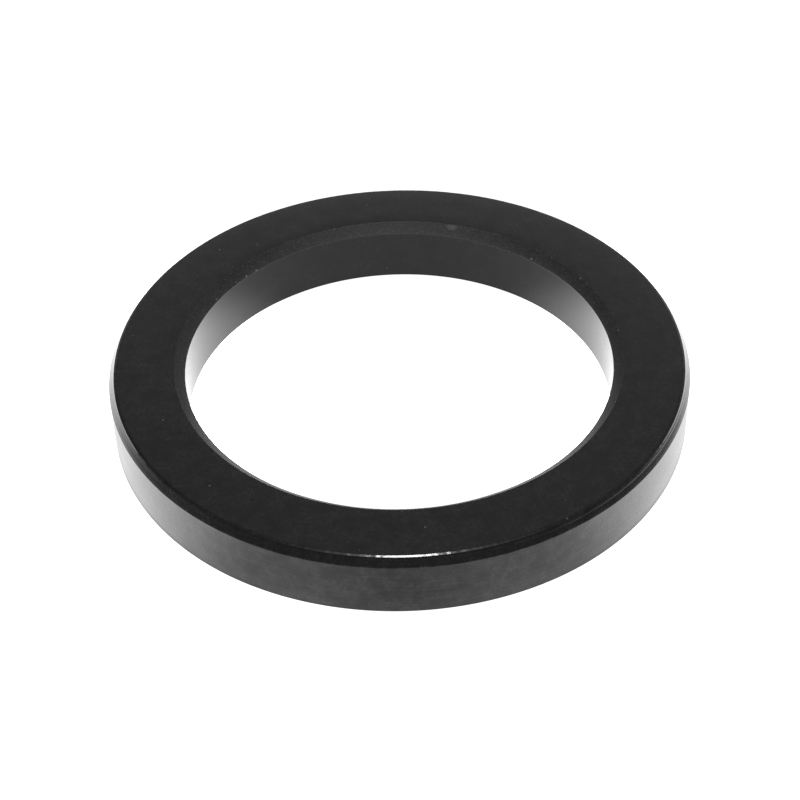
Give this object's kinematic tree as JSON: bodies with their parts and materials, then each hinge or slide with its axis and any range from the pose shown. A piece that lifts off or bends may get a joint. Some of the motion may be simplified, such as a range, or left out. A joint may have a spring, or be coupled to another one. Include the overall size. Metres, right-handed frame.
{
  "type": "group head gasket",
  "caption": "Flat moulded rubber ring with a bevelled outer shoulder and a chamfered bore that seals a filter holder against a coffee machine's brewing group.",
  "frame": {"origin": "centre of the flat sealing face, the one without chamfers, on the ring's axis", "axes": "+Z along the ring's axis, from the sealing face to the chamfered face; X and Y lie in the sealing face"},
  "size_m": [0.073, 0.073, 0.0082],
  "materials": {
    "black_rubber": "satin moulded black rubber, fine mottle and faint streaks"
  },
  "bodies": {
    "root": {"gasket_ring": "black_rubber"}
  },
  "joints": []
}
